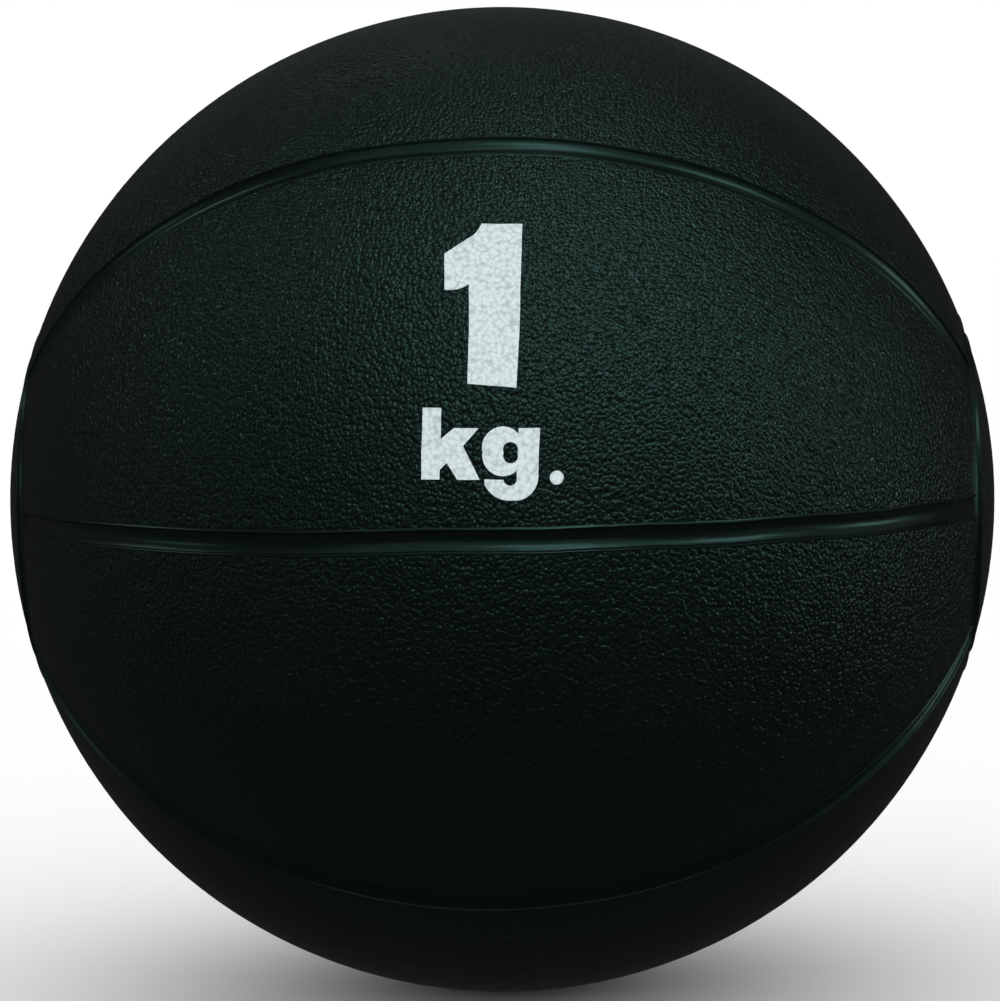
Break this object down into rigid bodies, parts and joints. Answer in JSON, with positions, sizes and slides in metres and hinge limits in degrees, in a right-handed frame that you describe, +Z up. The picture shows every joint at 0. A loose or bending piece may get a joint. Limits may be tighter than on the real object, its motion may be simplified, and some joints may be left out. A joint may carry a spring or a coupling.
{
  "type": "medicine ball",
  "caption": "Hollow moulded rubber medicine ball with pebbled gore panels, two pole caps, sunk channels between them, an inflation valve and a white weight marking.",
  "frame": {"origin": "centre of the ball", "axes": "+X runs through the two pole caps, with the valve on the -X side; +Z is up, across the panels; the weight marking is on the -Y side"},
  "size_m": [0.1898, 0.19, 0.19],
  "materials": {
    "cover_rubber": "satin",
    "channel_rubber": "satin",
    "carcass_rubber": "matte",
    "winding_thread": "matte",
    "bladder_rubber": "satin",
    "valve_seat_rubber": "satin",
    "valve_plug_rubber": "matte",
    "marking_film": "matte"
  },
  "bodies": {
    "root": {"bladder": "bladder_rubber", "carcass_half_left": "carcass_rubber", "carcass_half_right": "carcass_rubber", "gore_panel_bottom_front": "cover_rubber", "gore_panel_bottom_rear": "cover_rubber", "gore_panel_front_lower": "cover_rubber", "gore_panel_front_upper": "cover_rubber", "gore_panel_rear_lower": "cover_rubber", "gore_panel_rear_upper": "cover_rubber", "gore_panel_top_front": "cover_rubber", "gore_panel_top_rear": "cover_rubber", "marking_full_stop": "marking_film", "marking_letter_g": "marking_film", "marking_letter_k": "marking_film", "marking_numeral_one": "marking_film", "pole_cap_left": "cover_rubber", "pole_cap_right": "cover_rubber", "ring_strip_left": "channel_rubber", "ring_strip_right": "channel_rubber", "seam_strip_bottom": "channel_rubber", "seam_strip_front": "channel_rubber", "seam_strip_front_bottom": "channel_rubber", "seam_strip_front_top": "channel_rubber", "seam_strip_rear": "channel_rubber", "seam_strip_rear_bottom": "channel_rubber", "seam_strip_rear_top": "channel_rubber", "seam_strip_top": "channel_rubber", "thread_winding": "winding_thread", "valve_plug": "valve_plug_rubber", "valve_seat": "valve_seat_rubber"}
  },
  "joints": []
}
